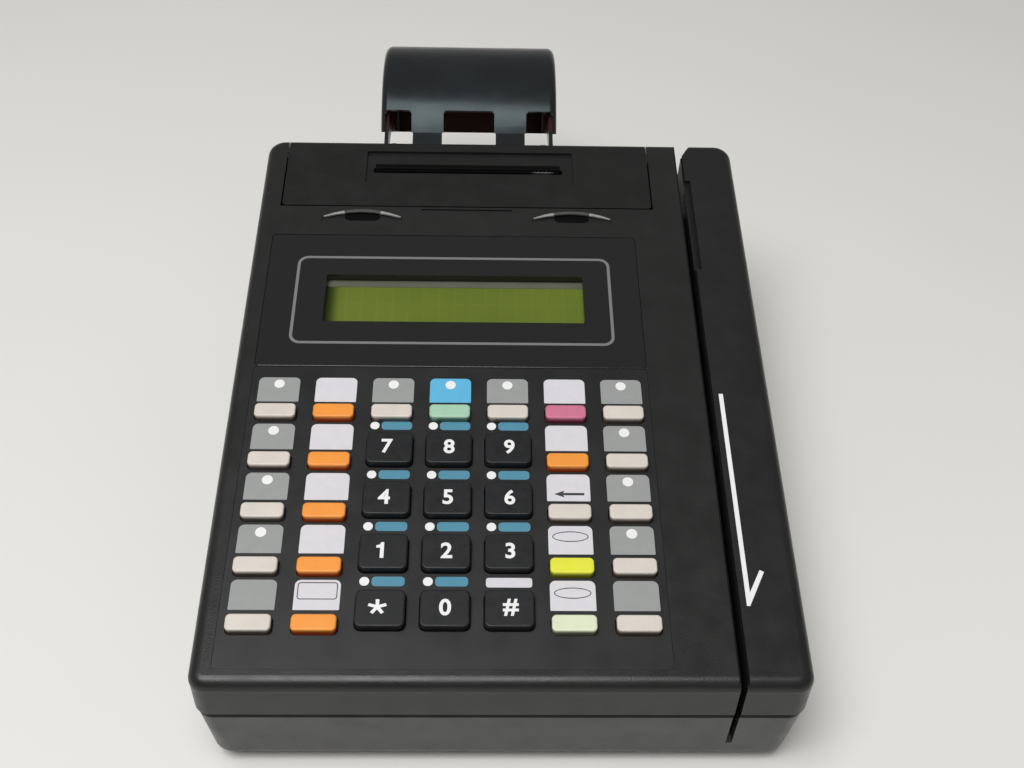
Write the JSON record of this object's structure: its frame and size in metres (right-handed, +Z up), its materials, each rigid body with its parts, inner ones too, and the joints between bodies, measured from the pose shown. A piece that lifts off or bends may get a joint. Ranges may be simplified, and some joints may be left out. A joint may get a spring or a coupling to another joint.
{
  "type": "payment terminal",
  "caption": "Counter-top card payment terminal with a sloping keypad deck, display, receipt printer under a hinged cover, card swipe slot and a roll hood behind.",
  "frame": {"origin": "centre of the overall footprint, on the table", "axes": "+X to the card rail on the user's right, +Y from the keypad's front edge to the roll hood, +Z up"},
  "size_m": [0.19, 0.3229, 0.097],
  "materials": {
    "case_plastic": "fine texture",
    "overlay_film": "matt printed film",
    "lens_acrylic": "glossy, printed on its back",
    "display_unit": "green display in a dark bezel",
    "silicone": "satin",
    "board": "solder mask",
    "socket_plastic": "satin",
    "hood_plastic": "smoked gloss",
    "bracket_plastic": "satin",
    "chassis_steel": "zinc plated",
    "platen_rubber": "ground",
    "carriage_plastic": "satin",
    "ribbon_plastic": "satin",
    "motor_steel": "plated can",
    "gear_plastic": "natural acetal",
    "rod_steel": "ground",
    "spindle_plastic": "satin",
    "head_metal": "lapped",
    "foot_rubber": "matt",
    "screw_steel": "zinc plated",
    "key_cream": "satin",
    "key_orange": "satin",
    "key_green": "satin",
    "key_pink": "satin",
    "key_yellow": "satin",
    "key_pale_green": "satin",
    "key_black": "satin, printed digit"
  },
  "bodies": {
    "case": {"base_housing": "case_plastic", "top_housing": "case_plastic", "card_rail": "case_plastic", "keypad_overlay": "overlay_film", "display_lens": "lens_acrylic", "display_module": "display_unit", "keypad_mat": "silicone", "keypad_board": "board", "main_board": "board", "rear_sockets": "socket_plastic", "printer_chassis": "chassis_steel", "ribbon_cartridge": "ribbon_plastic", "printer_motor": "motor_steel", "hood_hinge_rod": "rod_steel", "roll_bracket": "bracket_plastic", "rubber_feet": "foot_rubber", "case_screws": "screw_steel"},
    "cover": {"printer_cover": "case_plastic", "tear_bar": "rod_steel"},
    "platen": {"platen_roller": "platen_rubber"},
    "pinion": {"motor_pinion": "gear_plastic"},
    "head_carriage": {"print_head": "carriage_plastic"},
    "hood": {"paper_hood": "hood_plastic"},
    "spindle": {"roll_spindle": "spindle_plastic"},
    "card_head": {"read_head": "head_metal"},
    "function_key_row1_col1": {"function_key_row1_col1": "key_cream"},
    "function_key_row1_col2": {"function_key_row1_col2": "key_orange"},
    "function_key_row1_col3": {"function_key_row1_col3": "key_cream"},
    "function_key_row1_col4": {"function_key_row1_col4": "key_green"},
    "function_key_row1_col5": {"function_key_row1_col5": "key_cream"},
    "function_key_row1_col6": {"function_key_row1_col6": "key_pink"},
    "function_key_row1_col7": {"function_key_row1_col7": "key_cream"},
    "function_key_row2_col1": {"function_key_row2_col1": "key_cream"},
    "function_key_row2_col2": {"function_key_row2_col2": "key_orange"},
    "number_key_7": {"number_key_7": "key_black"},
    "number_key_8": {"number_key_8": "key_black"},
    "number_key_9": {"number_key_9": "key_black"},
    "function_key_row2_col6": {"function_key_row2_col6": "key_orange"},
    "function_key_row2_col7": {"function_key_row2_col7": "key_cream"},
    "function_key_row3_col1": {"function_key_row3_col1": "key_cream"},
    "function_key_row3_col2": {"function_key_row3_col2": "key_orange"},
    "number_key_4": {"number_key_4": "key_black"},
    "number_key_5": {"number_key_5": "key_black"},
    "number_key_6": {"number_key_6": "key_black"},
    "function_key_row3_col6": {"function_key_row3_col6": "key_cream"},
    "function_key_row3_col7": {"function_key_row3_col7": "key_cream"},
    "function_key_row4_col1": {"function_key_row4_col1": "key_cream"},
    "function_key_row4_col2": {"function_key_row4_col2": "key_orange"},
    "number_key_1": {"number_key_1": "key_black"},
    "number_key_2": {"number_key_2": "key_black"},
    "number_key_3": {"number_key_3": "key_black"},
    "function_key_row4_col6": {"function_key_row4_col6": "key_yellow"},
    "function_key_row4_col7": {"function_key_row4_col7": "key_cream"},
    "function_key_row5_col1": {"function_key_row5_col1": "key_cream"},
    "function_key_row5_col2": {"function_key_row5_col2": "key_orange"},
    "number_key_star": {"number_key_star": "key_black"},
    "number_key_0": {"number_key_0": "key_black"},
    "number_key_hash": {"number_key_hash": "key_black"},
    "function_key_row5_col6": {"function_key_row5_col6": "key_pale_green"},
    "function_key_row5_col7": {"function_key_row5_col7": "key_cream"}
  },
  "joints": [
    {"name": "cover_hinge", "type": "hinge", "parent": "case", "child": "cover", "pos_m": [-0.0132, 0.06777, 0.07823], "axis": [-1, 0, 0], "range_deg": [0, 60]},
    {"name": "platen_spin", "type": "hinge", "parent": "case", "child": "platen", "pos_m": [-0.0132, 0.0591, 0.06329], "axis": [1, 0, 0], "continuous": true},
    {"name": "pinion_spin", "type": "hinge", "parent": "case", "child": "pinion", "pos_m": [-0.0132, 0.04814, 0.05841], "axis": [1, 0, 0], "continuous": true},
    {"name": "print_head_slide", "type": "slide", "parent": "case", "child": "head_carriage", "axis": [1, 0, 0], "range_m": [-0.028, 0.028]},
    {"name": "hood_hinge", "type": "hinge", "parent": "case", "child": "hood", "pos_m": [-0.0132, 0.08022, 0.0768], "axis": [1, 0, 0], "range_deg": [0, 80]},
    {"name": "spindle_spin", "type": "hinge", "parent": "case", "child": "spindle", "pos_m": [-0.0132, 0.11842, 0.0465], "axis": [1, 0, 0], "continuous": true},
    {"name": "read_head_float", "type": "slide", "parent": "case", "child": "card_head", "axis": [-1, 0, 0], "range_m": [0, 0.0008], "stiffness_N_per_m": 1500, "springref_m": -0.0006},
    {"name": "function_key_row1_col1_press", "type": "slide", "parent": "case", "child": "function_key_row1_col1", "axis": [0, 0.1564, -0.9877], "range_m": [0, 0.0015], "stiffness_N_per_m": 800, "springref_m": -0.0003},
    {"name": "function_key_row1_col2_press", "type": "slide", "parent": "case", "child": "function_key_row1_col2", "axis": [0, 0.1564, -0.9877], "range_m": [0, 0.0015], "stiffness_N_per_m": 800, "springref_m": -0.0003},
    {"name": "function_key_row1_col3_press", "type": "slide", "parent": "case", "child": "function_key_row1_col3", "axis": [0, 0.1564, -0.9877], "range_m": [0, 0.0015], "stiffness_N_per_m": 800, "springref_m": -0.0003},
    {"name": "function_key_row1_col4_press", "type": "slide", "parent": "case", "child": "function_key_row1_col4", "axis": [0, 0.1564, -0.9877], "range_m": [0, 0.0015], "stiffness_N_per_m": 800, "springref_m": -0.0003},
    {"name": "function_key_row1_col5_press", "type": "slide", "parent": "case", "child": "function_key_row1_col5", "axis": [0, 0.1564, -0.9877], "range_m": [0, 0.0015], "stiffness_N_per_m": 800, "springref_m": -0.0003},
    {"name": "function_key_row1_col6_press", "type": "slide", "parent": "case", "child": "function_key_row1_col6", "axis": [0, 0.1564, -0.9877], "range_m": [0, 0.0015], "stiffness_N_per_m": 800, "springref_m": -0.0003},
    {"name": "function_key_row1_col7_press", "type": "slide", "parent": "case", "child": "function_key_row1_col7", "axis": [0, 0.1564, -0.9877], "range_m": [0, 0.0015], "stiffness_N_per_m": 800, "springref_m": -0.0003},
    {"name": "function_key_row2_col1_press", "type": "slide", "parent": "case", "child": "function_key_row2_col1", "axis": [0, 0.1564, -0.9877], "range_m": [0, 0.0015], "stiffness_N_per_m": 800, "springref_m": -0.0003},
    {"name": "function_key_row2_col2_press", "type": "slide", "parent": "case", "child": "function_key_row2_col2", "axis": [0, 0.1564, -0.9877], "range_m": [0, 0.0015], "stiffness_N_per_m": 800, "springref_m": -0.0003},
    {"name": "number_key_7_press", "type": "slide", "parent": "case", "child": "number_key_7", "axis": [0, 0.1564, -0.9877], "range_m": [0, 0.0015], "stiffness_N_per_m": 800, "springref_m": -0.0003},
    {"name": "number_key_8_press", "type": "slide", "parent": "case", "child": "number_key_8", "axis": [0, 0.1564, -0.9877], "range_m": [0, 0.0015], "stiffness_N_per_m": 800, "springref_m": -0.0003},
    {"name": "number_key_9_press", "type": "slide", "parent": "case", "child": "number_key_9", "axis": [0, 0.1564, -0.9877], "range_m": [0, 0.0015], "stiffness_N_per_m": 800, "springref_m": -0.0003},
    {"name": "function_key_row2_col6_press", "type": "slide", "parent": "case", "child": "function_key_row2_col6", "axis": [0, 0.1564, -0.9877], "range_m": [0, 0.0015], "stiffness_N_per_m": 800, "springref_m": -0.0003},
    {"name": "function_key_row2_col7_press", "type": "slide", "parent": "case", "child": "function_key_row2_col7", "axis": [0, 0.1564, -0.9877], "range_m": [0, 0.0015], "stiffness_N_per_m": 800, "springref_m": -0.0003},
    {"name": "function_key_row3_col1_press", "type": "slide", "parent": "case", "child": "function_key_row3_col1", "axis": [0, 0.1564, -0.9877], "range_m": [0, 0.0015], "stiffness_N_per_m": 800, "springref_m": -0.0003},
    {"name": "function_key_row3_col2_press", "type": "slide", "parent": "case", "child": "function_key_row3_col2", "axis": [0, 0.1564, -0.9877], "range_m": [0, 0.0015], "stiffness_N_per_m": 800, "springref_m": -0.0003},
    {"name": "number_key_4_press", "type": "slide", "parent": "case", "child": "number_key_4", "axis": [0, 0.1564, -0.9877], "range_m": [0, 0.0015], "stiffness_N_per_m": 800, "springref_m": -0.0003},
    {"name": "number_key_5_press", "type": "slide", "parent": "case", "child": "number_key_5", "axis": [0, 0.1564, -0.9877], "range_m": [0, 0.0015], "stiffness_N_per_m": 800, "springref_m": -0.0003},
    {"name": "number_key_6_press", "type": "slide", "parent": "case", "child": "number_key_6", "axis": [0, 0.1564, -0.9877], "range_m": [0, 0.0015], "stiffness_N_per_m": 800, "springref_m": -0.0003},
    {"name": "function_key_row3_col6_press", "type": "slide", "parent": "case", "child": "function_key_row3_col6", "axis": [0, 0.1564, -0.9877], "range_m": [0, 0.0015], "stiffness_N_per_m": 800, "springref_m": -0.0003},
    {"name": "function_key_row3_col7_press", "type": "slide", "parent": "case", "child": "function_key_row3_col7", "axis": [0, 0.1564, -0.9877], "range_m": [0, 0.0015], "stiffness_N_per_m": 800, "springref_m": -0.0003},
    {"name": "function_key_row4_col1_press", "type": "slide", "parent": "case", "child": "function_key_row4_col1", "axis": [0, 0.1564, -0.9877], "range_m": [0, 0.0015], "stiffness_N_per_m": 800, "springref_m": -0.0003},
    {"name": "function_key_row4_col2_press", "type": "slide", "parent": "case", "child": "function_key_row4_col2", "axis": [0, 0.1564, -0.9877], "range_m": [0, 0.0015], "stiffness_N_per_m": 800, "springref_m": -0.0003},
    {"name": "number_key_1_press", "type": "slide", "parent": "case", "child": "number_key_1", "axis": [0, 0.1564, -0.9877], "range_m": [0, 0.0015], "stiffness_N_per_m": 800, "springref_m": -0.0003},
    {"name": "number_key_2_press", "type": "slide", "parent": "case", "child": "number_key_2", "axis": [0, 0.1564, -0.9877], "range_m": [0, 0.0015], "stiffness_N_per_m": 800, "springref_m": -0.0003},
    {"name": "number_key_3_press", "type": "slide", "parent": "case", "child": "number_key_3", "axis": [0, 0.1564, -0.9877], "range_m": [0, 0.0015], "stiffness_N_per_m": 800, "springref_m": -0.0003},
    {"name": "function_key_row4_col6_press", "type": "slide", "parent": "case", "child": "function_key_row4_col6", "axis": [0, 0.1564, -0.9877], "range_m": [0, 0.0015], "stiffness_N_per_m": 800, "springref_m": -0.0003},
    {"name": "function_key_row4_col7_press", "type": "slide", "parent": "case", "child": "function_key_row4_col7", "axis": [0, 0.1564, -0.9877], "range_m": [0, 0.0015], "stiffness_N_per_m": 800, "springref_m": -0.0003},
    {"name": "function_key_row5_col1_press", "type": "slide", "parent": "case", "child": "function_key_row5_col1", "axis": [0, 0.1564, -0.9877], "range_m": [0, 0.0015], "stiffness_N_per_m": 800, "springref_m": -0.0003},
    {"name": "function_key_row5_col2_press", "type": "slide", "parent": "case", "child": "function_key_row5_col2", "axis": [0, 0.1564, -0.9877], "range_m": [0, 0.0015], "stiffness_N_per_m": 800, "springref_m": -0.0003},
    {"name": "number_key_star_press", "type": "slide", "parent": "case", "child": "number_key_star", "axis": [0, 0.1564, -0.9877], "range_m": [0, 0.0015], "stiffness_N_per_m": 800, "springref_m": -0.0003},
    {"name": "number_key_0_press", "type": "slide", "parent": "case", "child": "number_key_0", "axis": [0, 0.1564, -0.9877], "range_m": [0, 0.0015], "stiffness_N_per_m": 800, "springref_m": -0.0003},
    {"name": "number_key_hash_press", "type": "slide", "parent": "case", "child": "number_key_hash", "axis": [0, 0.1564, -0.9877], "range_m": [0, 0.0015], "stiffness_N_per_m": 800, "springref_m": -0.0003},
    {"name": "function_key_row5_col6_press", "type": "slide", "parent": "case", "child": "function_key_row5_col6", "axis": [0, 0.1564, -0.9877], "range_m": [0, 0.0015], "stiffness_N_per_m": 800, "springref_m": -0.0003},
    {"name": "function_key_row5_col7_press", "type": "slide", "parent": "case", "child": "function_key_row5_col7", "axis": [0, 0.1564, -0.9877], "range_m": [0, 0.0015], "stiffness_N_per_m": 800, "springref_m": -0.0003}
  ],
  "couplings": [
    {"joint": "pinion_spin", "follows": "platen_spin", "ratio": -2}
  ]
}
